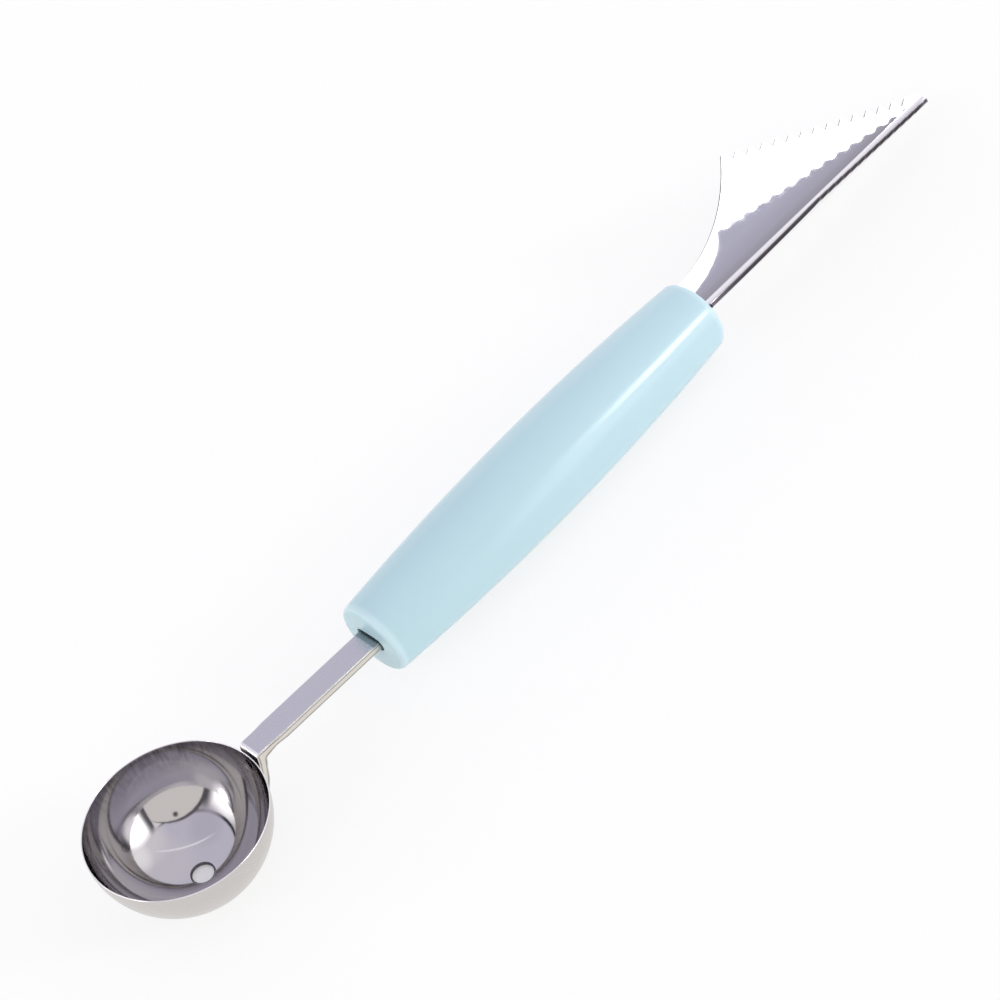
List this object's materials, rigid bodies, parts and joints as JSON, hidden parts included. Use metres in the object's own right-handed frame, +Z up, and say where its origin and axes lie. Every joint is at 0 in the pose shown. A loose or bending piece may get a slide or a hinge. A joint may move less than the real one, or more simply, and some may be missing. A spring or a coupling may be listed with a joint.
{
  "type": "fruit carving knife",
  "caption": "Double-ended fruit carving tool: barrel handle with a round melon-baller scoop on a flat stem at one end and a folded V blade with toothed edges at the other.",
  "frame": {"origin": "middle of the bounding box, on the table that the tool lies on", "axes": "+X along the tool from the scoop to the tip of the blade, +Z up, the way the bowl and the V open, +Y across"},
  "size_m": [0.2138, 0.032, 0.0196],
  "materials": {
    "handle_plastic": "pale aqua, smooth satin gloss as moulded",
    "bowl_steel": "stainless, mirror polished inside, satin outside",
    "stem_steel": "stainless, polished along its length",
    "blade_steel": "stainless, mirror polished sheet"
  },
  "bodies": {
    "root": {"handle": "handle_plastic", "scoop_bowl": "bowl_steel", "scoop_stem": "stem_steel", "carving_blade": "blade_steel"}
  },
  "joints": []
}
